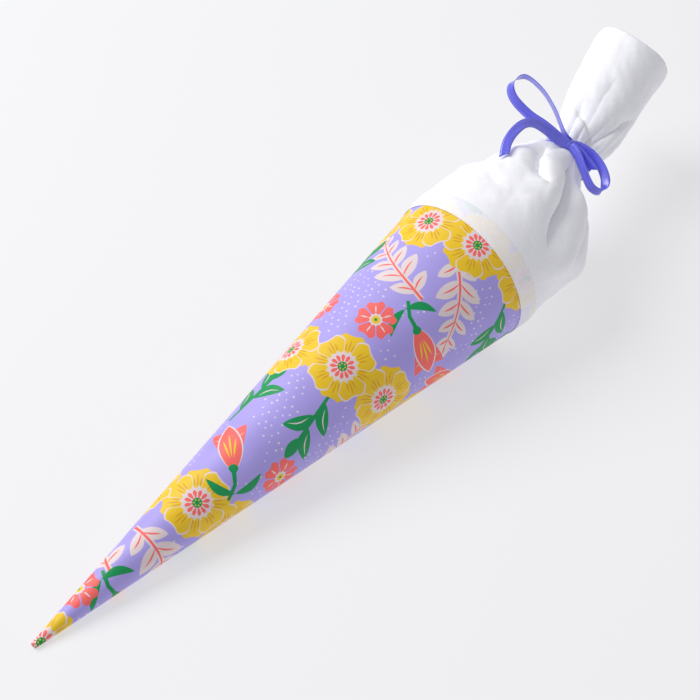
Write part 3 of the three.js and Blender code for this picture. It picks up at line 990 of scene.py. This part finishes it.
bow_stretches = {
    "left_loop": (
        [
            (0, 2, 0), (-8, 16, 2), (-20, 44, 6), (-36, 68, 9), (-56, 83, 10), (-72, 74, 9),
            (-70, 58, 8), (-52, 38, 8), (-32, 24, 8), (-12, 8, 6), (0, 0, 4),
        ],
        [
            (0.5, 0.8, 0.2), (0.3, 0.2, 1), (0.3, 0, 1), (0.2, 0.2, 1), (0, 0.4, 1), (0.6, 0.2, 0.8),
            (0.8, 0.3, 0.5), (0.6, 0.75, 0.2), (0.5, 0.8, 0.1), (0.5, 0.8, 0.2), (0.5, 0.8, 0.2),
        ],
    ),
    "left_end": (
        [
            (0, 0, 6), (-16, 6, 12), (-31, 17, 20), (-46, 24, 31), (-60, 22, 43), (-73, 11, 56),
            (-82, -3, 66), (-86, -18, 75),
        ],
        [
            (0.5, 0.8, 0.2), (0.5, 0.8, 0.1), (0.3, 0.9, 0), (0, 1, 0), (-0.5, 0.8, -0.2),
            (-0.7, 0.6, -0.2), (-0.9, 0.3, -0.2), (-0.95, 0.1, -0.2),
        ],
    ),
    "right_loop": (
        [
            (0, 0, 7), (8, -13, 11), (15, -33, 14), (24, -52, 15), (36, -57, 12), (42, -44, 9),
            (37, -26, 6), (25, -10, 3), (10, -1, 1), (0, 0, 0),
        ],
        [
            (0.8, 0.4, 0.4), (0.8, 0.3, 0.6), (0.7, 0.2, 0.7), (0.6, 0.5, 0.6), (0.5, 0.6, 0.7),
            (0.9, 0.1, 0.4), (0.8, 0.2, 0.4), (0.6, 0.5, 0.4), (0.6, 0.7, 0.2), (0.6, 0.7, 0.1),
        ],
    ),
    "right_end": (
        [(0, 0, 4), (10, -8, 6), (18, -18, 8), (27, -30, 9)],
        [(0.6, 0.7, 0.3), (0.6, 0.6, 0.5), (0.7, 0.5, 0.5), (0.7, 0.4, 0.6)],
    ),
}


# %% Carry a strip along a route
def through(places, share):
    """A point on a smooth curve through the places."""
    span = share * (len(places) - 1)
    index = min(int(span), len(places) - 2)
    t = span - index
    p0 = places[max(index - 1, 0)]
    p1, p2 = places[index], places[index + 1]
    p3 = places[min(index + 2, len(places) - 1)]
    return (
        p1 * 2 + (p2 - p0) * t + (p0 * 2 - p1 * 5 + p2 * 4 - p3) * t**2
        + (p1 * 3 - p0 - p2 * 3 + p3) * t**3
    ) * 0.5


ACROSS_STEPS = 4
ribbon_builder = bmesh.new()
along_ribbon = ribbon_builder.loops.layers.uv.new("along_ribbon")


def add_strip(centres, widths, closed=False, slant=0.0, breadth=RIBBON_WIDTH):
    rows = []
    run = 0.0
    for index, (centre, width) in enumerate(zip(centres, widths)):
        count = len(centres)
        before = centres[(index - 1) % count if closed else max(index - 1, 0)]
        after = centres[(index + 1) % count if closed else min(index + 1, count - 1)]
        along = (after - before).normalized()
        width = (width - along * width.dot(along)).normalized()
        bow = along.cross(width)
        run += (centre - centres[index - 1]).length if index else 0
        cells = []
        for step in range(ACROSS_STEPS + 1):
            side = step / ACROSS_STEPS * 2 - 1
            place = centre + width * (side * breadth / 2) + bow * (STRIP_BOW * (1 - side**2))
            if index == count - 1:
                place += along * (slant * side)
            cells.append((ribbon_builder.verts.new(place * MM), run * MM, side))
        rows.append(cells)
    pairs = list(zip(rows, rows[1:]))
    if closed:
        pairs.append((rows[-1], rows[0]))
    for first, second in pairs:
        for step in range(ACROSS_STEPS):
            quad = (first[step], second[step], second[step + 1], first[step + 1])
            face = ribbon_builder.faces.new([cell[0] for cell in quad])
            for loop, cell in zip(face.loops, quad):
                loop[along_ribbon].uv = (cell[1], cell[2] * RIBBON_WIDTH / 2 * MM)


for name, (line, widths) in bow_stretches.items():
    places = [in_bow(place) + knot_centre for place in line]
    turned = [in_bow(width) for width in widths]
    steps = (len(line) - 1) * STEPS_A_PLACE
    centres = [through(places, step / steps) for step in range(steps + 1)]
    across = [through(turned, step / steps).normalized() for step in range(steps + 1)]
    add_strip(centres, across, slant=END_SLANT if name.endswith("end") else 0)
    length = sum((b - a).length for a, b in zip(centres, centres[1:]))
    print(name, "is", round(length), "mm of ribbon")


def ring_place(angle):
    drawn = max(0.0, math.cos(math.radians(angle - KNOT_ANGLE))) ** 2
    place = point_in_section(neck_section, angle, ring_radius + RING_BULGE * drawn)
    return place - neck_tangent * (KNOT_PULL * drawn)


ring_angles = range(0, 360, RING_STEP)
add_strip([ring_place(angle) for angle in ring_angles], [neck_tangent] * len(ring_angles), closed=True)

# the knot is one turn of the ribbon over the crossing, creased to less than its width
loops_run = in_bow((-0.62, 0.74, 0.2)).normalized()
knot_side = loops_run.cross(bow_toward).normalized()
knot_turns = [2 * math.pi * step / KNOT_STEPS for step in range(KNOT_STEPS)]
add_strip(
    [knot_centre + bow_toward * (KNOT_LIFT + KNOT_HALF_DEPTH * math.sin(t))
     + knot_side * (KNOT_HALF_WIDTH * math.cos(t)) for t in knot_turns],
    [loops_run] * len(knot_turns),
    closed=True,
    breadth=KNOT_WIDTH,
)

# %% [markdown]
# ### Satin
# Satin shines along one direction and shades quickly, from deep violet to nearly white where it faces
# the light. A low roughness, a thin coat and some sheen give that. A fine weave and long streaks follow
# the ribbon's own map, and keep it a fabric.

# %% The satin
satin, nodes, links, shader = new_material("violet_satin")
ribbon_map = nodes.new("ShaderNodeUVMap")
ribbon_map.uv_map = "along_ribbon"
weave = nodes.new("ShaderNodeTexWave")
weave.wave_type = "BANDS"
weave.bands_direction = "X"
weave.inputs["Scale"].default_value = 900
weave.inputs["Distortion"].default_value = 0.5
streaks = nodes.new("ShaderNodeTexNoise")
streaks.inputs["Scale"].default_value = 500
stretched = nodes.new("ShaderNodeMapping")
stretched.inputs["Scale"].default_value = (0.06, 1, 1)
tone = nodes.new("ShaderNodeValToRGB")
tone.color_ramp.elements[0].position = 0.3
tone.color_ramp.elements[1].position = 0.7
tone.color_ramp.elements[0].color = linear(84, 84, 222)
tone.color_ramp.elements[1].color = linear(112, 112, 244)
bump = nodes.new("ShaderNodeBump")
bump.inputs["Strength"].default_value = 0.2
bump.inputs["Distance"].default_value = 0.0001
links.new(ribbon_map.outputs["UV"], weave.inputs["Vector"])
links.new(ribbon_map.outputs["UV"], stretched.inputs["Vector"])
links.new(stretched.outputs["Vector"], streaks.inputs["Vector"])
links.new(streaks.outputs["Fac"], tone.inputs["Fac"])
links.new(tone.outputs["Color"], shader.inputs["Base Color"])
links.new(weave.outputs["Fac"], bump.inputs["Height"])
links.new(bump.outputs["Normal"], shader.inputs["Normal"])
shader.inputs["Roughness"].default_value = 0.24
shader.inputs["Anisotropic"].default_value = 0.6
shader.inputs["Sheen Weight"].default_value = 0.5
shader.inputs["Sheen Roughness"].default_value = 0.4
shader.inputs["Specular IOR Level"].default_value = 1
shader.inputs["Coat Weight"].default_value = 0.5
shader.inputs["Coat Roughness"].default_value = 0.2

# %% The tied ribbon
ribbon = new_piece("tied_satin_ribbon", ribbon_builder, [satin])
wall = ribbon.modifiers.new("wall", "SOLIDIFY")
wall.thickness = RIBBON_THICKNESS * MM
wall.offset = 0
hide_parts("satin_ribbon")
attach(ribbon, "root")
